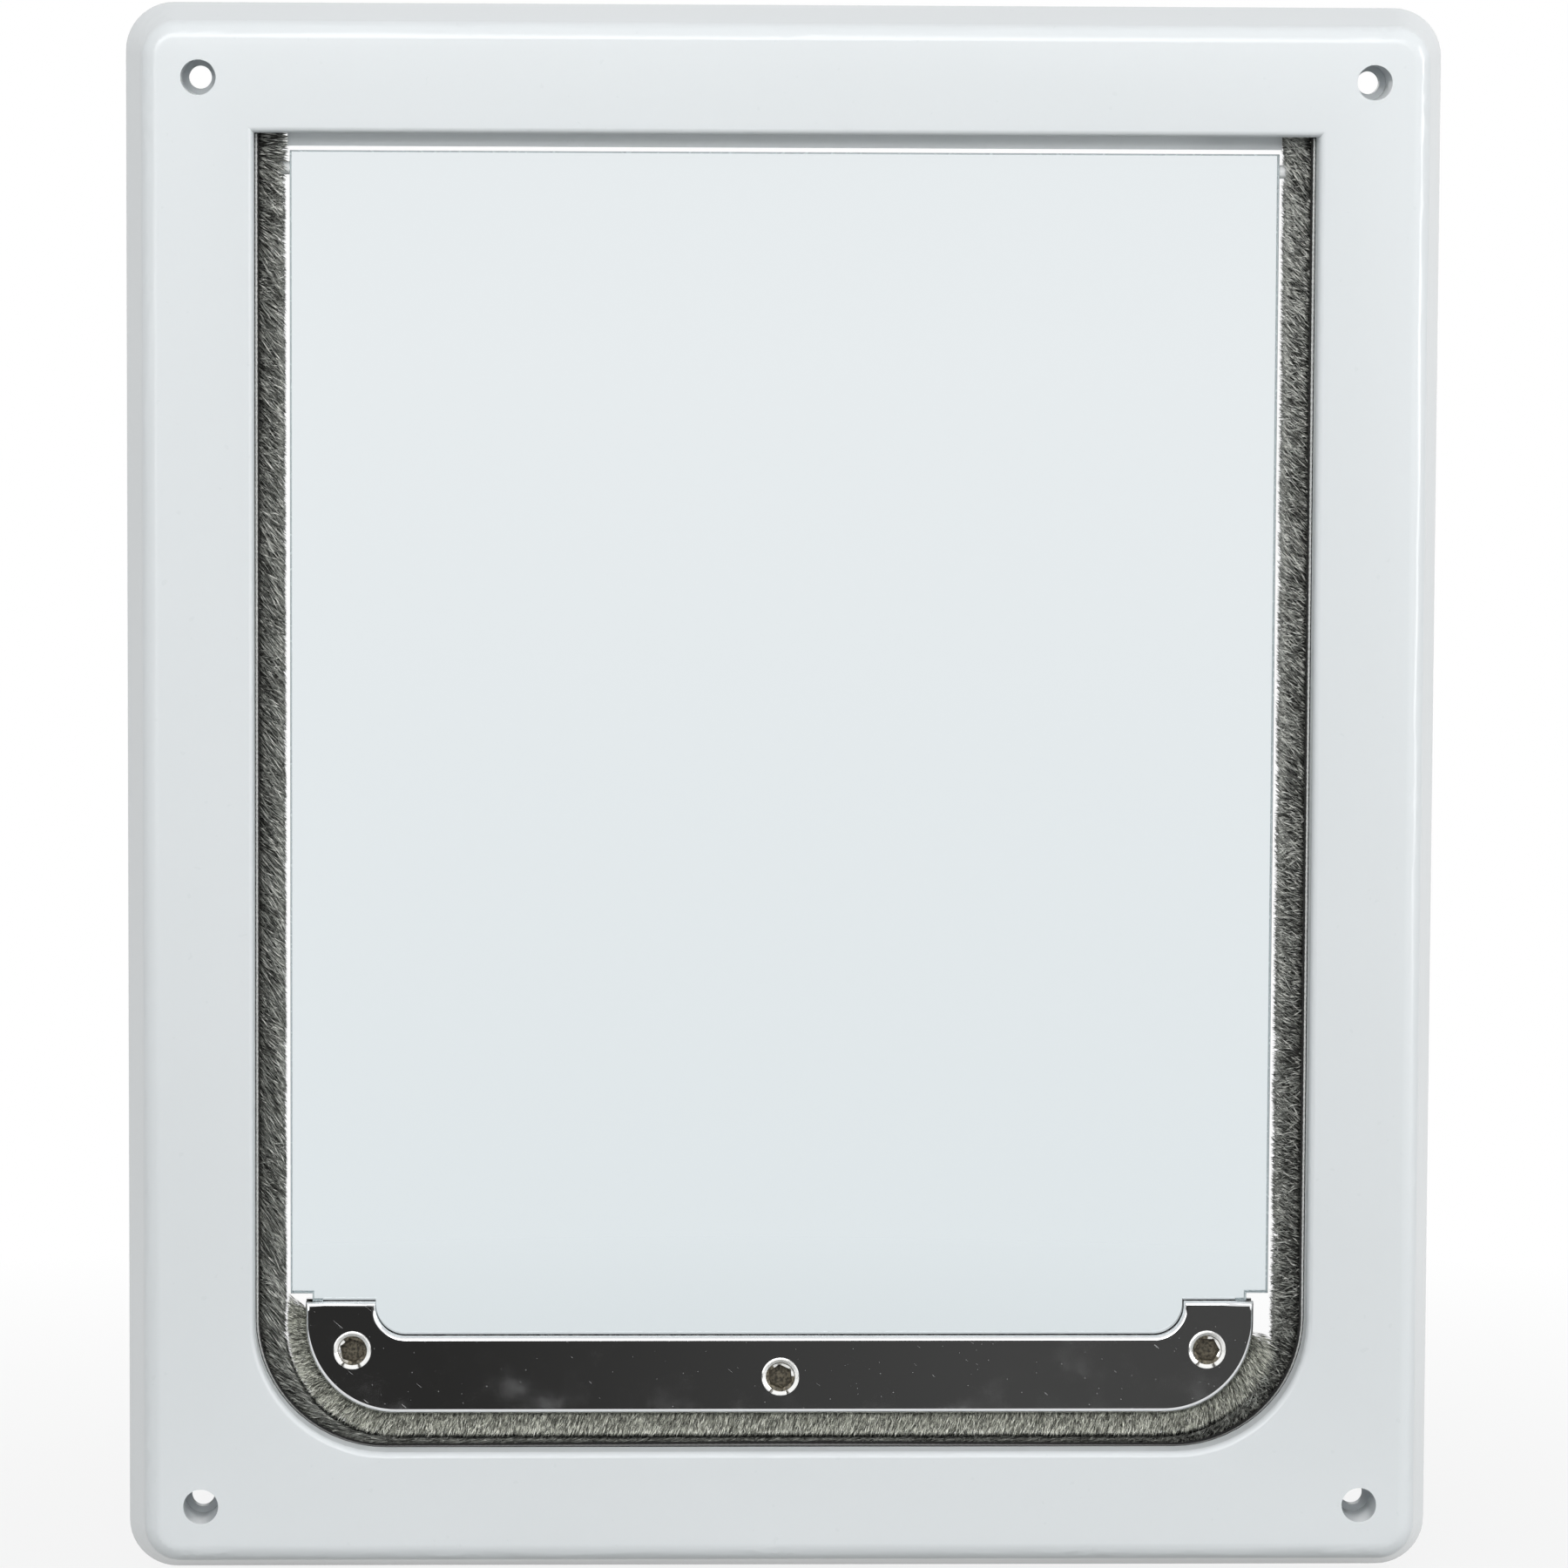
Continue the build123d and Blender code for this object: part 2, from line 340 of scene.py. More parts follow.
def fibres(name, low, high, width, shade, material):
    """Fibres, one per row of the arrays. Each is a three-sided spindle: a point at either end and a ring of
    three points a little past its middle. The shade attribute holds each fibre's tone with its painted shade
    and light."""
    along = high - low
    side = np.cross(along, random.normal(size=along.shape))
    side /= np.linalg.norm(side, axis=1, keepdims=True)
    other = np.cross(along, side)
    other /= np.linalg.norm(other, axis=1, keepdims=True)
    angle = np.arange(3)[:, None, None] * 2 * math.pi / 3
    ring = low + fibre_belly * along + (np.cos(angle) * side + np.sin(angle) * other) * (width / 2)[:, None]
    points = np.concatenate([low[None], ring, high[None]]).transpose(1, 0, 2)
    spindle = np.array([[2, 1, 0], [3, 2, 0], [1, 3, 0], [1, 2, 4], [2, 3, 4], [3, 1, 4]])
    faces = (np.arange(len(low))[:, None, None] * 5 + spindle).reshape(-1, 3)
    piece = new_piece(name, points, [faces], material)
    attribute = piece.data.attributes.new("shade", "FLOAT", "POINT")
    attribute.data.foreach_set("value", np.repeat(np.clip(shade, 0, 1), 5).astype(np.float32))
    return piece


def fibre_finish(name, stops):
    """Nylon fibres: each fibre's shade value, its tone with painted shade and light, picks its colour, and a
    soft sheen stays on the lit side.
    """
    material, tone = new_finish(name)
    shade = tone.node("Attribute", {"attribute_name": "shade"}, out="Fac")
    colour = tone.node("ValToRGB", {"stops": stops}, {0: shade})
    tone.surface({"Base Color": colour, "Roughness": 0.55, "Specular IOR Level": 0.35})
    return material


tunnel = (seal_high[0], seal_low[2], tunnel_corner_radius, seal_high[2], seal_high[2])
tips = (
    brush_high[0] + tip_clearance,
    brush_low[2] - tip_clearance,
    tip_corner_radius,
    seal_high[2],
    seal_high[2],
)
tunnel_reach = cup_reach(*tunnel)
pile_finish = fibre_finish("dark_nylon_pile", pile_colours)


def pile_run(name, first, last):
    """Crimped fibres of the pile between two distances along the tunnel line. Each lies on a line from its
    root on the tape to its tip, which slants onward, and shows one stretch of that line, most often on the
    pile's faces. Fibres leave room for the axles, and above the flap they reach further."""
    distance = random.uniform(first, last, fibres_per_run)
    from_end = np.minimum(distance, tunnel_reach[5] - distance)
    slant = pile_slant + slant_wander * smooth_wander(distance, lock_width, seed=11)
    slant += random.normal(0, slant_scatter, fibres_per_run)
    meet = distance + slant * np.clip(from_end / upright_end_length, 0, 1)
    on_wall = cup_at(distance, tunnel_reach, tunnel)
    on_tips = cup_at(np.clip(meet, 0, tunnel_reach[5]), tunnel_reach, tips)
    depth = pile_half_width * np.sin(random.uniform(-math.pi / 2, math.pi / 2, fibres_per_run))
    clear = np.abs(on_wall[:, 1] - axle_height) > axle_room
    clear |= np.abs(depth) > axle_room
    root = np.insert(on_wall, 1, flap_plane + depth, axis=1)[clear]
    tip = np.insert(on_tips, 1, flap_plane + pile_fan * depth, axis=1)[clear]
    count = len(root)
    begin = random.uniform(*pile_start_range, count)
    longest = random.normal(pile_height_mean, pile_height_scatter, count).clip(*pile_height_limits)
    longest += growth_above_flap * (root[:, 2] > flap_top)
    end = np.minimum(begin + random.uniform(*pile_stretch_range, count), longest)
    begin = np.maximum(begin, pile_lowest_start)
    crimp = random.normal(0, pile_crimp, (2, count, 3))
    low = root + (tip - root) * begin[:, None] + crimp[0] * pile_crimp_low
    high = root + (tip - root) * end[:, None] + crimp[1] * pile_crimp_high
    width = pile_fibre_width * random.uniform(*fibre_width_range, count)
    # Painted shade: a fibre is darker the nearer to its root its stretch ends.
    shade = random.beta(*pile_shade_spread, count) * (pile_root_painted_shade + pile_tip_painted_light * end)
    # Painted light and shade by place along the tunnel.
    shade *= np.interp(distance[clear], tunnel_reach, painted_light_and_shade_along_tunnel)
    shade *= 1 + shade_patch_depth * smooth_wander(distance, shade_patch_width, seed=13)[clear]
    piece = fibres(name, low, high, width, shade, pile_finish)
    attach(piece, "door_frame")
    return piece


pile_run("pile_left_side", 0, tunnel_reach[1])
floor_pile = pile_run("pile_floor", tunnel_reach[1], tunnel_reach[4])
pile_run("pile_right_side", tunnel_reach[4], tunnel_reach[5])
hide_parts("frame_pile_seal")


def tunnel_wall(run):
    """At distances along the tunnel line: points on it, directions from there to the pile's tips, and how
    far away the tips are."""
    wall = cup_at(run, tunnel_reach, tunnel)
    inward = cup_at(run, tunnel_reach, tips) - wall
    height = np.linalg.norm(inward, axis=1, keepdims=True)
    return wall, inward / height, height


def swept_strip(name, centre, inward, across, forward, material):
    """A closed profile carried along a path in the door's plane: each profile point goes so far inward and
    so far forward of the path point, and both ends are capped. The profile may change along the path."""
    rings = centre[:, None] + across[..., None] * inward[:, None]
    points = np.insert(rings, 1, forward, axis=2)
    rows, around = across.shape
    walls = tube_faces(rows, around)[:, [0, 3, 2, 1]]
    caps = np.stack([np.arange(around), np.arange(around)[::-1] + (rows - 1) * around])
    return new_piece(name, points, [walls, caps], material)


def weave(name, colour, roughness):
    """Woven thread: a fine over-and-under relief, a little colour change from one thread to the next, and
    darker colour towards the tunnel's floor."""
    material, tone = new_finish(name)
    place = tone.place()
    threads = tone.node("TexVoronoi", sockets={"Vector": place, "Scale": 2200})
    height = tone.node("SeparateXYZ", sockets={0: place}, out="Z")
    darker = tuple(thread_shade * part for part in colour[:3]) + (1,)
    darkened_low = tuple(floor_darkening_share * part for part in colour[:3]) + (1,)
    woven = tone.blend(threads, colour, darker)
    nearness_to_floor = tone.rise(height, darkening_from, darkening_to)
    relief = tone.node("Bump", sockets={"Strength": 0.4, "Distance": 0.1 * mm, "Height": threads})
    tone.surface(
        {"Base Color": tone.blend(nearness_to_floor, woven, darkened_low), "Roughness": roughness, "Normal": relief}
    )
    return material


tape_line, tape_inward, tip_height = tunnel_wall(np.linspace(0, tunnel_reach[5], tape_rows))
tape_front, tape_back = seal_low[1], seal_high[1]
tape = swept_strip(
    "backing_tape",
    tape_line,
    tape_inward,
    np.tile([tape_glue_gap, tape_thickness, tape_thickness, tape_glue_gap], (tape_rows, 1)),
    np.tile([tape_front, tape_front, tape_back, tape_back], (tape_rows, 1)),
    weave("woven_tape", tape_colour, tape_roughness),
)
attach(tape, "door_frame")

# Matted roots of the pile in the darkest pile colour: the matting is real, and its darkness is painted shade
# deep between the fibres.
mat_foot = np.full((tape_rows, 1), tape_thickness / 2)
mat_top = matted_height * tip_height
mat_depth = matted_width * pile_half_width
root_mat_in_painted_shade = swept_strip(
    "pile_roots",
    tape_line,
    tape_inward,
    np.concatenate([mat_foot, mat_top, mat_top, mat_foot], axis=1),
    np.tile([-mat_depth, -mat_depth, mat_depth, mat_depth], (tape_rows, 1)) + flap_plane,
    weave("matted_pile_roots", pile_colours[0][1], matted_roughness),
)
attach(root_mat_in_painted_shade, "door_frame")

thread_rows = int(tunnel_reach[5] / selvedge_twist * rows_per_twist)
thread_run = np.linspace(selvedge_end_gap, tunnel_reach[5] - selvedge_end_gap, thread_rows)
thread_line, thread_inward, _ = tunnel_wall(thread_run)
thread_turn = np.arange(selvedge_sides) * 2 * math.pi / selvedge_sides
twist = 2 * thread_turn - 2 * math.pi * thread_run[:, None] / selvedge_twist
thread_radius = selvedge_radius * (1 + selvedge_ply_depth * np.cos(twist))
thread = swept_strip(
    "selvedge_thread",
    thread_line,
    thread_inward,
    selvedge_standoff + thread_radius * np.cos(thread_turn),
    tape_front + thread_radius * np.sin(thread_turn),
    weave("pale_selvedge_thread", selvedge_white, selvedge_roughness),
)
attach(thread, "door_frame")


# Flap: one panel of clear acrylic, its outline sawn and its edges lightly broken, with a ground stub axle at
# each top corner. It hangs by the stubs in the two sockets and swings both ways.
acrylic_tint = (0.832, 0.874, 0.892, 1)
# Painted shade: the panel's tint darkens from the first height down to the second.
painted_shade_tint = (0.765, 0.822, 0.845, 1)
painted_shade_from = 100 * mm
painted_shade_to = -120 * mm
cut_edge_tint = (0.50, 0.57, 0.59, 1)
cut_edge_roughness = 0.15
cut_edge_clearness = 0.35
stub_white = (0.97, 0.98, 0.98, 1)
stub_roughness = 0.5
acrylic_ior = 1.49
broken_edge = 0.35 * mm
broken_edge_limit = math.radians(20)
flap_half = 112.7 * mm
ledge_height = 1.8 * mm
ledge_inset = 1.5 * mm
foot_inset = 3.5 * mm
foot_radius = 17.2 * mm
foot_points = 13
axle_radius = 1.5 * mm
axle_gap = 0.02 * mm
axle_sides = 24

panel_low, panel_high = (np.array(corner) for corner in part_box("flap_panel"))
plate_low, plate_high = (np.array(corner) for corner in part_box("front_weight_plate"))
rear_low, rear_high = (np.array(corner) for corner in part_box("rear_weight_plate"))
panel_front, panel_back = plate_high[1], rear_low[1]

foot_half = plate_high[0] - foot_inset
foot_turn = np.linspace(0, math.pi / 2, foot_points)
foot_bend = np.stack(
    [
        foot_half - foot_radius * (1 - np.cos(foot_turn)),
        panel_low[2] + foot_radius * (1 - np.sin(foot_turn)),
    ],
    axis=1,
)
right_corners = [
    (flap_half, panel_high[2]),
    (flap_half, plate_high[2] + ledge_height),
    (plate_high[0] - ledge_inset, plate_high[2] + ledge_height),
    (plate_high[0] - ledge_inset, plate_high[2]),
    (foot_half, plate_high[2]),
]
right_edge = np.concatenate([right_corners, foot_bend])
panel_outline = np.concatenate([right_edge, right_edge[::-1] * (-1, 1)])


def drawn_in(outline, inset):
    """Closed clockwise outline with every side moved in by the inset: each corner goes along the sum of its
    two sides' inward directions, divided by one plus their product, so that both sides move equally far."""
    side = np.roll(outline, -1, axis=0) - outline
    side /= np.linalg.norm(side, axis=1, keepdims=True)
    inward = np.stack([side[:, 1], -side[:, 0]], axis=1)
    before = np.roll(inward, 1, axis=0)
    reach = 1 + (inward * before).sum(axis=1, keepdims=True)
    return outline + inset * (inward + before) / reach


def prism_faces(sides, first=0):
    """Walls between the two rings of a prism, and a cap on each ring."""
    ring = np.arange(sides)
    return [tube_faces(2, sides, first)[:, ::-1], np.stack([ring, 2 * sides - 1 - ring]) + first]


def worked_acrylic(name, tint, roughness, transmission):
    """Acrylic that the saw or the grinding wheel has left more or less dull."""
    material, tone = new_finish(name)
    marks = tone.node("TexNoise", sockets={"Vector": tone.place(), "Scale": 900, "Detail": 2})
    tone.surface(
        {
            "Base Color": tint,
            "Roughness": roughness + 0.2 * marks,
            "IOR": acrylic_ior,
            "Transmission Weight": transmission,
        }
    )
    return material


clear_acrylic, tone = new_finish("clear_acrylic")
place = tone.place()
wiped = tone.node("TexNoise", sockets={"Vector": place, "Scale": 22, "Detail": 5})
# Painted shade towards the panel's foot.
painted_shade_share = tone.rise(tone.node("SeparateXYZ", sockets={0: place}, out="Z"), painted_shade_from, painted_shade_to)
tone.surface(
    {
        "Base Color": tone.blend(painted_shade_share, acrylic_tint, painted_shade_tint),
        "Roughness": 0.012 * wiped,
        "IOR": acrylic_ior,
        "Transmission Weight": 1,
    }
)
sawn_acrylic = worked_acrylic("sawn_acrylic_edge", cut_edge_tint, cut_edge_roughness, cut_edge_clearness)
ground_acrylic = worked_acrylic("ground_stub_axle", stub_white, stub_roughness, 0)

edge_steps = broken_edge * np.array([(1, 0), (0.3, 0.3), (0, 1)])
panel_levels = [(inset, panel_front + depth) for inset, depth in edge_steps]
panel_levels += [(inset, panel_back - depth) for inset, depth in edge_steps[::-1]]
panel_rings = [np.insert(drawn_in(panel_outline, inset), 1, depth, axis=1) for inset, depth in panel_levels]
panel_points = np.concatenate(panel_rings)
corner = np.arange(len(panel_outline))
edge_faces = tube_faces(len(panel_levels), len(panel_outline))
flat_faces = np.stack([corner[::-1], corner + len(panel_points) - len(panel_outline)])
panel_faces = [edge_faces, flat_faces]
axle_turn = np.arange(axle_sides) * 2 * math.pi / axle_sides
axle_ring = axle_radius * np.stack([0 * axle_turn, np.cos(axle_turn), np.sin(axle_turn)], axis=1)
for start, end in [(flap_half + axle_gap, panel_high[0]), (panel_low[0], -flap_half - axle_gap)]:
    panel_faces += prism_faces(axle_sides, len(panel_points))
    centres = np.array([(start, flap_plane, axle_height), (end, flap_plane, axle_height)])
    panel_points = np.concatenate([panel_points, (centres[:, None] + axle_ring).reshape(-1, 3)])
panel = new_piece("clear_panel", panel_points, panel_faces, clear_acrylic)
panel.data.set_sharp_from_angle(angle=broken_edge_limit)
panel.data.materials.append(sawn_acrylic)
panel.data.materials.append(ground_acrylic)
finish_order = np.full(len(panel.data.polygons), 2, np.int32)
finish_order[: len(edge_faces)] = 1
finish_order[len(edge_faces) : len(edge_faces) + len(flat_faces)] = 0
panel.data.polygons.foreach_set("material_index", finish_order)
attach(panel, "flap")
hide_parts("flap_panel")


# Flap brush: pale grey nylon bristle clamped between the two weight plates round the foot of the panel.
# It brushes over the pile as the flap swings, and its right end is cut shorter than its left.
plate_corner_radius = 20.7 * mm
bristle_corner_radius = 25 * mm
bristle_root_inset = 1.2 * mm
tip_side_reach = 0.4 * mm
tip_lift = 0.2 * mm
clamped_half_width = 1.7 * mm
bristle_fan = 2.5
bristle_comb = -2.2 * mm
comb_wander = 1.0 * mm
comb_scatter = 1.3 * mm
comb_spacing = 2.5 * mm
fray_room = 1.4 * mm
left_end_drop = 2.8 * mm
right_end_drop = 7.4 * mm
right_end_length = 14 * mm
right_end_growth = 0.45
bristle_count = 31000
bristle_width = 0.16 * mm
bristle_start_range = (-0.05, 0.75)
bristle_stretch_range = (0.25, 0.5)
bristle_height_mean, bristle_height_scatter = 0.99, 0.02
bristle_crimp = 0.16 * mm
bristle_crimp_low = (1, 0.5, 1)
bristle_crimp_high = (0.5, 0.5, 0.5)
bristle_shade_spread = (0.9, 0.75)
# Painted shade: bristles are darker towards their clamped roots and lighter towards their tips.
bristle_root_painted_shade, bristle_tip_painted_light = 0.5, 0.75
bristle_colours = [
    (0.0, (0.06, 0.062, 0.05, 1)),
    (0.35, (0.36, 0.365, 0.31, 1)),
    (0.7, (0.66, 0.67, 0.58, 1)),
    (1.0, (0.88, 0.88, 0.79, 1)),
]

root_line = (
    plate_high[0] - bristle_root_inset,
    plate_low[2] + bristle_root_inset,
    plate_corner_radius - bristle_root_inset,
    brush_high[2],
    brush_high[2],
)
bristle_tip_line = (
    brush_high[0] + tip_side_reach,
    brush_low[2] + tip_lift,
    bristle_corner_radius,
    brush_high[2],
    brush_high[2],
)
bristle_reach = cup_reach(*root_line)
bristle_end = bristle_reach[5] - right_end_drop
bristle_finish = fibre_finish("pale_nylon_bristle", bristle_colours)


def brush_half(name, first, last):
    """Crimped bristles between two distances along the root line, like the pile's, but all combed back the
    other way, so that the brush frays past its left end, and spreading to front and back from the clamped
    roots."""
    along = random.uniform(first, last, bristle_count)
    comb = bristle_comb + comb_wander * smooth_wander(along, comb_spacing, seed=21)
    comb += random.normal(0, comb_scatter, bristle_count)
    meet = np.clip(along + comb, -fray_room, bristle_end)
    root = cup_at(along, bristle_reach, root_line)
    tip = cup_at(meet, bristle_reach, bristle_tip_line)
    tip[:, 1] -= np.minimum(meet, 0)
    depth = clamped_half_width * np.sin(random.uniform(-math.pi / 2, math.pi / 2, bristle_count))
    root = np.insert(root, 1, flap_plane + depth, axis=1)
    tip = np.insert(tip, 1, flap_plane + bristle_fan * depth, axis=1)
    begin = random.uniform(*bristle_start_range, bristle_count)
    near_right_end = np.clip(1 - (bristle_end - along) / right_end_length, 0, 1)
    longest = random.normal(bristle_height_mean, bristle_height_scatter, bristle_count)
    longest += right_end_growth * near_right_end
    end = np.minimum(begin * longest + random.uniform(*bristle_stretch_range, bristle_count), longest)
    crimp = random.normal(0, bristle_crimp, (2, bristle_count, 3))
    low = root + (tip - root) * begin[:, None] + crimp[0] * bristle_crimp_low
    high = root + (tip - root) * end[:, None] + crimp[1] * bristle_crimp_high
    width = bristle_width * random.uniform(*fibre_width_range, bristle_count)
    # Painted shade: a bristle is darker the nearer to its root its stretch ends.
    shade = random.beta(*bristle_shade_spread, bristle_count)
    shade *= bristle_root_painted_shade + bristle_tip_painted_light * end
    piece = fibres(name, low, high, width, shade, bristle_finish)
    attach(piece, "flap")
    return piece


left_bristles = brush_half("bristles_left", left_end_drop, bristle_end / 2)
brush_half("bristles_right", bristle_end / 2, bristle_end)
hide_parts("flap_brush")


# Weight plates: two steel stampings, chromed, one on each side of the panel's foot.
# They weigh the flap's lower edge, clamp the brush and are held together by three rivets.
ear_width = 16 * mm
ear_rise = 8 * mm
ear_hollow_radius = 6.9 * mm
rolled_edge_width = 1.05 * mm
rolled_edge_height = 0.85 * mm
rolled_edge_steps = 11
face_margin = 1.04
hidden_edge_inset = 0.03
hidden_edge_height = 0.05 * mm
outline_points = [3, 28, 24, 28, 3]
rivet_hole_radius = 3.55 * mm
drill_sides = 48
drill_depths = np.array([-30, 30]) * mm
chrome_colour = (0.80, 0.81, 0.82, 1)
smeared_chrome = (0.7, 0.7, 0.7, 1)
scratch_size = (3.5 * mm, 3.5 * mm, 0.28 * mm)
scratch_slant = 0.7

rivet_nodes = ("rivet_left", "rivet_middle", "rivet_right")
rivet_centres = [np.mean(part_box(node), axis=0)[[0, 2]] for node in rivet_nodes]
plate_runs = [run + np.linspace(0, 1, count, endpoint=False) for run, count in enumerate(outline_points)]
plate_share = np.concatenate(plate_runs + [[5]])


def plate_loop(inset):
    """Closed outline of a plate, drawn in by an inset: the outer U down one side and up the other, then the
    hollow between the ears back again. Each point of the outer U faces one of the hollow."""
    top = plate_high[2] - inset
    outer = cup_line(
        plate_share,
        plate_high[0] - inset,
        plate_low[2] + inset,
        plate_corner_radius - inset,
        top,
        top,
    )
    hollow = cup_line(
        plate_share[::-1],
        plate_high[0] - ear_width + inset,
        plate_high[2] - ear_rise - inset,
        ear_hollow_radius + inset,
        top,
        top,
    )
    return np.concatenate([outer, hollow])


def bore(piece, centres, radius):
    """Cut round holes square to the door: prisms of many sides are taken out of the piece, then thrown
    away."""
    turn = np.arange(drill_sides) * 2 * math.pi / drill_sides
    ring = radius * np.stack([np.cos(turn), np.sin(turn)], axis=1)
    depths = drill_depths.repeat(drill_sides)
    prisms = [np.insert(np.tile(centre + ring, (2, 1)), 1, depths, axis=1) for centre in centres]
    first = np.arange(len(centres))[:, None, None] * 2 * drill_sides
    faces = [(first + part).reshape(-1, part.shape[1]) for part in prism_faces(drill_sides)]
    drill = new_piece("drill", np.concatenate(prisms), faces, None)
    cut = piece.modifiers.new("rivet_holes", "BOOLEAN")
    cut.object = drill
    cut.solver = "EXACT"
    graph = bpy.context.evaluated_depsgraph_get()
    mesh = bpy.data.meshes.new_from_object(piece.evaluated_get(graph))
    piece.modifiers.remove(cut)
    piece.data = mesh
    bpy.data.objects.remove(drill)


def weight_plate(name, node, shown, hidden, material):
    """Stamped plate: loops of its outline from the hidden face, up the wall and over a quarter-elliptical
    edge to the shown face. Each face is a ruled band from the outer U to the hollow."""
    quarter = np.linspace(0, math.pi / 2, rolled_edge_steps)
    outward = math.copysign(1, shown - hidden)
    inset = np.concatenate([[hidden_edge_inset, 0], 1 - np.cos(quarter), [face_margin]])
    rolled = shown - outward * rolled_edge_height * (1 - np.sin(quarter))
    depth = np.concatenate([[hidden, hidden + outward * hidden_edge_height], rolled, [shown]])
    loops = [np.insert(plate_loop(i), 1, y, axis=1) for i, y in zip(rolled_edge_width * inset, depth)]
    rows, around = len(loops), len(loops[0])
    pair = np.arange(around // 2 - 1)
    band = np.stack([pair, pair + 1, around - 2 - pair, around - 1 - pair], axis=-1)
    faces = np.concatenate([tube_faces(rows, around), band[:, ::-1], band + (rows - 1) * around])
    if outward > 0:
        faces = faces[:, ::-1]
    plate = new_piece(name, np.concatenate(loops), [faces], material)
    bore(plate, rivet_centres, rivet_hole_radius)
    plate.data.set_sharp_from_angle(angle=rounded_edge_limit)
    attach(plate, "flap")
    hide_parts(node)


# Bright plating is a mirror with wiped smears, hairline scratches and a few pin-head pits.
chrome, tone = new_finish("chrome_plating")
place = tone.place()
cloud = tone.node("TexNoise", sockets={"Vector": place, "Scale": 75, "Detail": 6, "Roughness": 0.6})
smear = tone.rise(cloud, 0.42, 0.72)
drawn = tone.node(
    "Mapping",
    {"vector_type": "TEXTURE"},
    {"Vector": place, "Rotation": (0, scratch_slant, 0), "Scale": scratch_size},
)
hairs = tone.node("TexNoise", sockets={"Vector": drawn, "Scale": 1, "Detail": 0})
pits = tone.node("TexVoronoi", sockets={"Vector": place, "Scale": 600})
marks = (hairs > 0.875) | (0.05 - pits > 0)
relief = tone.node("Bump", sockets={"Strength": 0.05, "Distance": 0.03 * mm, "Height": marks})
tone.surface(
    {
        "Base Color": tone.blend(0.3 * smear, chrome_colour, smeared_chrome),
        "Metallic": 1,
        "Roughness": 0.025 + 0.12 * smear + 0.25 * marks,
        "Normal": relief,
    }
)
weight_plate("front_plate", "front_weight_plate", plate_low[1], plate_high[1], chrome)
weight_plate("rear_plate", "rear_weight_plate", rear_high[1], rear_low[1], chrome)


# Rivets: three hollow steel rivets, nickel plated, through both plates and the panel.
# Their front ends are rolled over into a ring, split a little by the tool, round a six-sided recess.
ring_outer_radius = 4.35 * mm
ring_crest_radius = 4.08 * mm
ring_inner_radius = 3.4 * mm
ring_dip = 0.42 * mm
# Painted shade dims the top of the rolled ring by this share.
ring_top_painted_shade = 0.45
split_places = np.radians([-66, -124])
split_width = math.radians(4)
recess_radius = 3.2 * mm
recess_corner_radius = 2.95 * mm
recess_depth = 2.6 * mm
facet_depth = 0.3 * mm
head_edge_height = 0.4 * mm
head_rounding = 0.25 * mm
crown_drop = 0.05 * mm
shank_radius = 3.5 * mm
rivet_sides = 96
# Facets that face within this range of a rivet's chosen side carry a painted highlight; the others carry
# painted shade.
painted_highlight_from = 0.45
painted_highlight_range = 0.4
rivet_edge_limit = math.radians(38)
nickel_bright = (0.97, 0.965, 0.945, 1)
nickel_dull = (0.17, 0.148, 0.105, 1)
nickel_dark = (0.03, 0.026, 0.018, 1)

turn = np.arange(rivet_sides) * 2 * math.pi / rivet_sides
sixth = math.pi / 3
hexagon = recess_corner_radius * math.cos(sixth / 2) / np.cos((turn + sixth / 2) % sixth - sixth / 2)
facet = np.floor((turn + 0.001) / sixth) + 0.5


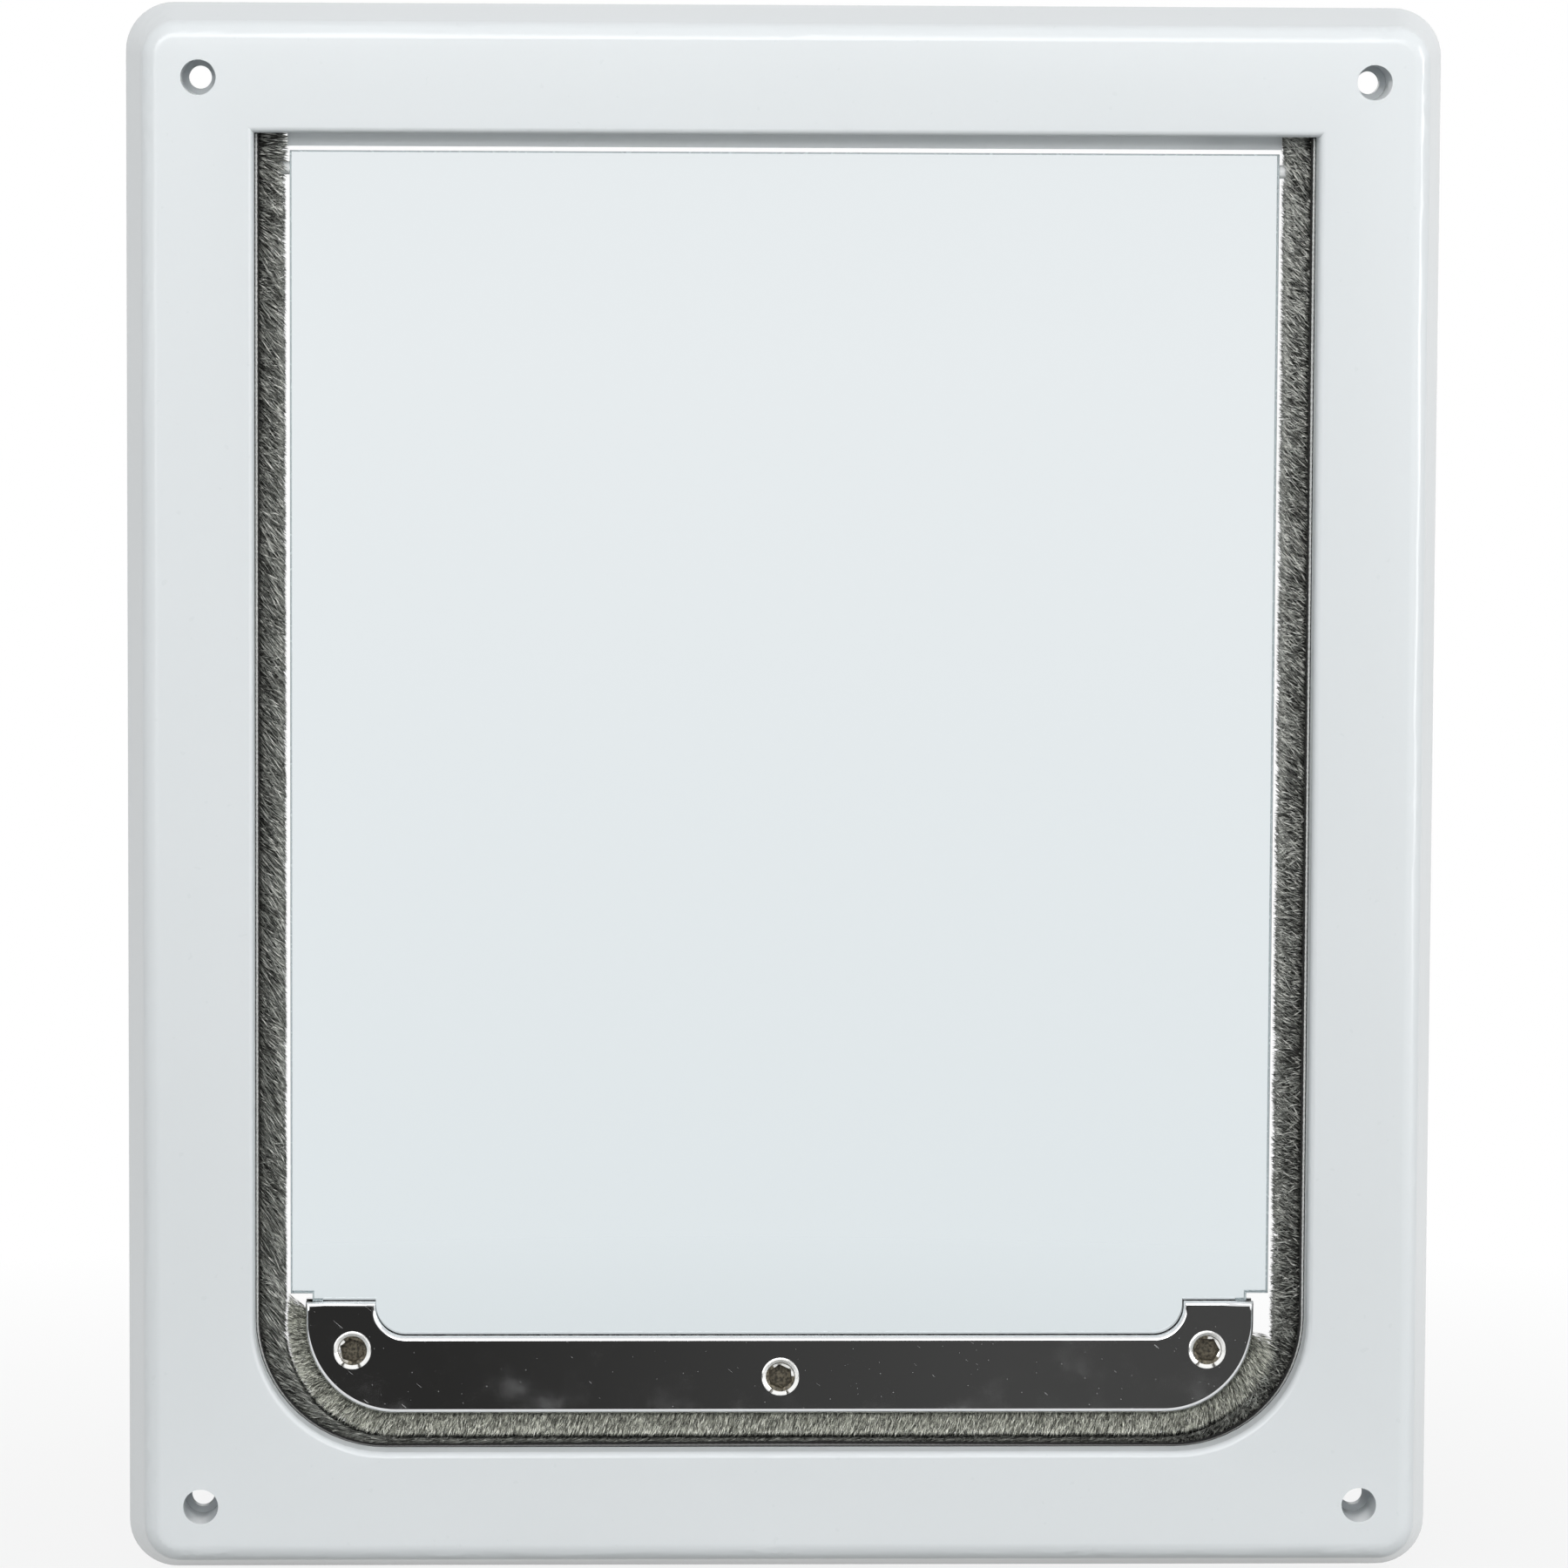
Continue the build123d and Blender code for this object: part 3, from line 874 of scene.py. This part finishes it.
def rivet(name, node, spin, painted_highlight_side, material):
    """Closed surface of rings about the rivet's axis: out over the back head, in to the shank, out and up to
    the crest of the rolled ring, down its inner slope, and over six facets that join a circle to the hexagon
    of the recess. The dark-metal attribute is nothing on bright metal. It is tarnish in the recess and the
    dark splits, painted shade on the ring's top, and painted shade on the facets away from one side; the
    facets on that side are a painted highlight."""
    low, high = (np.array(corner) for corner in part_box(node))
    centre = (low + high) / 2
    head_radius = (high[0] - low[0]) / 2
    front, back = plate_low[1], rear_high[1]
    crest = low[1] - front
    brim = low[1] + ring_dip
    recess_floor = brim + recess_depth
    from_split = (turn[:, None] + spin - split_places + math.pi) % (2 * math.pi) - math.pi
    split = np.exp(-((from_split / split_width) ** 2)).max(axis=1)
    # Dark splits, and painted shade on the ring's top.
    ring_split_and_painted_shade = np.maximum(split, ring_top_painted_shade * np.clip(np.sin(turn + spin), 0, 1) ** 2)
    # Painted highlight on the facets towards one side, painted shade on the rest.
    toward_painted_highlight = np.cos(facet * sixth + spin - painted_highlight_side)
    facet_painted_shade = 1 - np.clip((toward_painted_highlight - painted_highlight_from) / painted_highlight_range, 0, 1)
    profile = [
        (0.5 * head_radius, high[1], 0),
        (0.8 * head_radius, high[1] - crown_drop, 0),
        (0.97 * head_radius, back + head_edge_height + head_rounding, 0),
        (head_radius, back + head_edge_height, 0),
        (head_radius, back, 0),
        (shank_radius, back, 0),
        (shank_radius, front, 0),
        (ring_outer_radius, front, ring_split_and_painted_shade),
        (ring_outer_radius - 0.02 * mm, front + crest * (0.6 - 0.5 * split), ring_split_and_painted_shade),
        (ring_outer_radius - 0.12 * mm, front + crest * (0.93 - 0.8 * split), ring_split_and_painted_shade),
        (ring_crest_radius, front + crest * (1 - 0.85 * split), ring_split_and_painted_shade),
        (ring_inner_radius, brim, ring_split_and_painted_shade),
        (ring_inner_radius - 0.03 * mm, brim + 0.03 * mm, 1),
        (recess_radius, brim + 0.08 * mm, 1),
        (recess_radius - 0.02 * mm, brim + 0.1 * mm, facet_painted_shade),
        (hexagon, brim + facet_depth, facet_painted_shade),
        (0.98 * hexagon, brim + facet_depth + 0.1 * mm, 1),
        (0.93 * hexagon, recess_floor, 1),
        (0.45 * hexagon, recess_floor, 1),
    ]
    radius, depth, worn = (np.stack([row[i] + 0 * turn for row in profile]) for i in range(3))
    across = centre[0] + radius * np.cos(turn + spin)
    up = centre[2] + radius * np.sin(turn + spin)
    rings = np.stack([across, depth, up], axis=-1).reshape(-1, 3)
    poles = [[centre[0], high[1], centre[2]], [centre[0], recess_floor, centre[2]]]
    here = np.arange(rivet_sides)
    beside = (here + 1) % rivet_sides
    last = len(rings) - rivet_sides
    crown = np.stack([beside, here, 0 * here + len(rings)], axis=-1)
    bottom = np.stack([last + here, last + beside, 0 * here + len(rings) + 1], axis=-1)
    faces = [tube_faces(len(profile), rivet_sides), np.concatenate([crown, bottom])]
    piece = new_piece(name, np.concatenate([rings, poles]), faces, material)
    piece.data.set_sharp_from_angle(angle=rivet_edge_limit)
    worn = np.append(worn, [0, 1]).astype(np.float32)
    piece.data.attributes.new("worn", "FLOAT", "POINT").data.foreach_set("value", worn)
    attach(piece, "flap")
    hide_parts(node)


# Nickel: the dark colour, less metallic and rougher, is tarnish in the recess and dark splits, and painted
# shade on the ring's top and on the facets away from the painted highlight.
nickel, tone = new_finish("nickel_plating")
worn = tone.node("Attribute", {"attribute_name": "worn"}, out="Fac")
grain = tone.node("TexNoise", sockets={"Vector": tone.place(), "Scale": 1600, "Detail": 4})
tarnish_and_shade_colour = tone.blend(tone.rise(grain, 0.4, 0.62), nickel_dull, nickel_dark)
relief = tone.node("Bump", sockets={"Strength": 0.25, "Distance": 0.1 * mm, "Height": grain})
tone.surface(
    {
        "Base Color": tone.blend(worn, nickel_bright, tarnish_and_shade_colour),
        "Metallic": 0.7 - 0.4 * worn,
        "Roughness": 0.12 + 0.36 * worn,
        "Normal": relief,
    }
)
# Each rivet has its own side of painted highlight on its recess facets.
rivet("hollow_rivet_left", "rivet_left", spin=0.2, painted_highlight_side=math.radians(165), material=nickel)
rivet("hollow_rivet_middle", "rivet_middle", spin=0.1, painted_highlight_side=math.radians(60), material=nickel)
rivet("hollow_rivet_right", "rivet_right", spin=0.5, painted_highlight_side=math.radians(25), material=nickel)


# Studio: a pale floor in a white surround, soft boxes and strips above and in front, and one box behind.
# Only mirrors see the dark sheets in front and behind, so the chrome turns black with bright edges, as in a
# product photograph.
floor_height = -180.5 * mm
floor_half = 3.0
floor_pale = (0.37, 0.381, 0.377, 1)
floor_shadow_share = 0.16
floor_shadow_from, floor_shadow_to = 0.45, 0.85
white = (1, 1, 1, 1)
surround_soft = (0.97, 0.99, 1.0, 1)
surround_soft_level = 0.48
sheet_dark = (0.029, 0.0285, 0.0275, 1)
sheet_dim = (0.068, 0.0675, 0.066, 1)
sheet_dim_from, sheet_dim_to = -0.08, 0.07
sheet_height = floor_height + 1 * mm
sweep_near, sweep_bend, sweep_top = -0.19, -2.0, 0.3
sweep_radius = 0.3
sweep_half_width = 0.55
rear_line = [(0.05, sheet_height), (1.6, sheet_height), (1.9, 0.1)]
rear_half_widths = [0.13, 0.7, 0.75]
camera_at = Vector((-0.06213, -1.79129, 0.16361))
camera_aim = Vector((-0.00015, -0.018, 0.0034))
camera_roll = math.radians(0.274)
camera_lens = 179.71
camera_sensor = 36


def seen_directly(tone):
    """One where a ray comes straight from the camera, off a mirror or through clear plastic, else nothing."""
    camera = tone.node("LightPath", out="Is Camera Ray")
    mirror = tone.node("LightPath", out="Is Glossy Ray")
    clear = tone.node("LightPath", out="Is Transmission Ray")
    return camera | mirror | clear


def flat_sheet(name, outline, half_width, material):
    """A ruled sheet: a line of y and z points carried straight across from side to side, with one half width
    for the whole line or one for each point."""
    outline, half_width = np.array(outline), np.array(half_width)
    left = np.insert(outline, 0, -half_width, axis=1)
    right = np.insert(outline, 0, half_width, axis=1)
    row = np.arange(len(outline) - 1) * 2
    faces = np.stack([row, row + 1, row + 3, row + 2], axis=-1)
    sheet = new_piece(name, np.stack([left, right], axis=1), [faces], material)
    return sheet


floor_paint, tone = new_finish("pale_floor_paint")
paint = tone.node("BsdfDiffuse", sockets={"Color": floor_pale})
glow = tone.node("Emission", sockets={"Color": white, "Strength": 1})
near = tone.node("TexGradient", {"gradient_type": "SPHERICAL"}, {0: tone.place()}, out="Fac")
whiteness = 1 - floor_shadow_share * tone.rise(near, floor_shadow_from, floor_shadow_to)
shader = tone.node("MixShader", sockets={0: whiteness * seen_directly(tone), 1: paint, 2: glow})
tone.node("OutputMaterial", sockets={"Surface": shader})
flat_sheet("floor", [(-floor_half, floor_height), (floor_half, floor_height)], floor_half, floor_paint)

felt, tone = new_finish("dark_felt")
across = tone.node("SeparateXYZ", sockets={0: tone.place()}, out="X")
dim = tone.blend(tone.rise(across, sheet_dim_from, sheet_dim_to), sheet_dark, sheet_dim)
tone.node("OutputMaterial", sockets={"Surface": tone.node("Emission", sockets={"Color": dim})})
rising = np.linspace(0, math.pi / 2, 7)
bend_y = sweep_bend - sweep_radius * np.sin(rising)
bend_z = sheet_height + sweep_radius * (1 - np.cos(rising))
sweep_line = [(sweep_near, sheet_height), *zip(bend_y, bend_z), (sweep_bend - sweep_radius, sweep_top)]
for sheet in (
    flat_sheet("dark_sweep", sweep_line, sweep_half_width, felt),
    flat_sheet("dark_sweep_behind", rear_line, rear_half_widths, felt),
):
    sheet.visible_camera = False
    sheet.visible_diffuse = False
    sheet.visible_transmission = False
    sheet.visible_shadow = False

surround = bpy.data.worlds.new("white_surround")
surround.use_nodes = True
surround.node_tree.nodes.clear()
tone = Tone(surround.node_tree)
soft = tone.node("Background", sockets={"Color": surround_soft, "Strength": surround_soft_level})
bright = tone.node("Background", sockets={"Color": white, "Strength": 1})
shader = tone.node("MixShader", sockets={0: seen_directly(tone), 1: soft, 2: bright})
tone.node("OutputWorld", sockets={"Surface": shader})
scene.world = surround


def soft_lamp(name, place, aim, width, height, watts, spread=180):
    """A rectangular soft box that faces a point. A grid in front of it may narrow its spread, in degrees."""
    light = bpy.data.lights.new(name, "AREA")
    light.shape = "RECTANGLE"
    light.size, light.size_y = width, height
    light.energy = watts
    light.spread = math.radians(spread)
    lamp = bpy.data.objects.new(name, light)
    lamp.location = place
    lamp.rotation_mode = "QUATERNION"
    lamp.rotation_quaternion = (Vector(aim) - Vector(place)).to_track_quat("-Z", "Y")
    scene.collection.objects.link(lamp)
    return lamp


soft_lamp("high_box", (-0.15, -1.6, 0.7), (0, 0, 0.26), width=1.4, height=0.7, watts=5.35, spread=105)
soft_lamp("overhead_strip", (0, -0.45, 1.3), (0, 0, 0.15), width=1.8, height=0.14, watts=0.6)
soft_lamp("left_strip", (-0.95, -1.55, 0.3), (0, 0, 0.1), width=0.15, height=1.3, watts=3.3)
soft_lamp("right_strip", (1.5, -0.6, 0.1), (0, 0, 0), width=0.2, height=1.5, watts=10.5)
soft_lamp("right_front_strip", (1.05, -1.6, 0.3), (0, 0, 0.1), width=0.15, height=1.3, watts=0.7)
back_box = soft_lamp("back_box", (0.35, 1.8, 0.2), (0, 0, 0), width=0.5, height=0.6, watts=6)
back_box.visible_transmission = False
back_box.visible_glossy = False

lens = bpy.data.cameras.new("photo_camera")
lens.lens = camera_lens
lens.sensor_width = camera_sensor
camera = bpy.data.objects.new("photo_camera", lens)
camera.location = camera_at
camera.rotation_mode = "QUATERNION"
level_view = (camera_aim - camera_at).to_track_quat("-Z", "Y")
camera.rotation_quaternion = level_view @ Quaternion((0, 0, 1), camera_roll)
scene.collection.objects.link(camera)
scene.camera = camera
scene.view_settings.view_transform = "Standard"
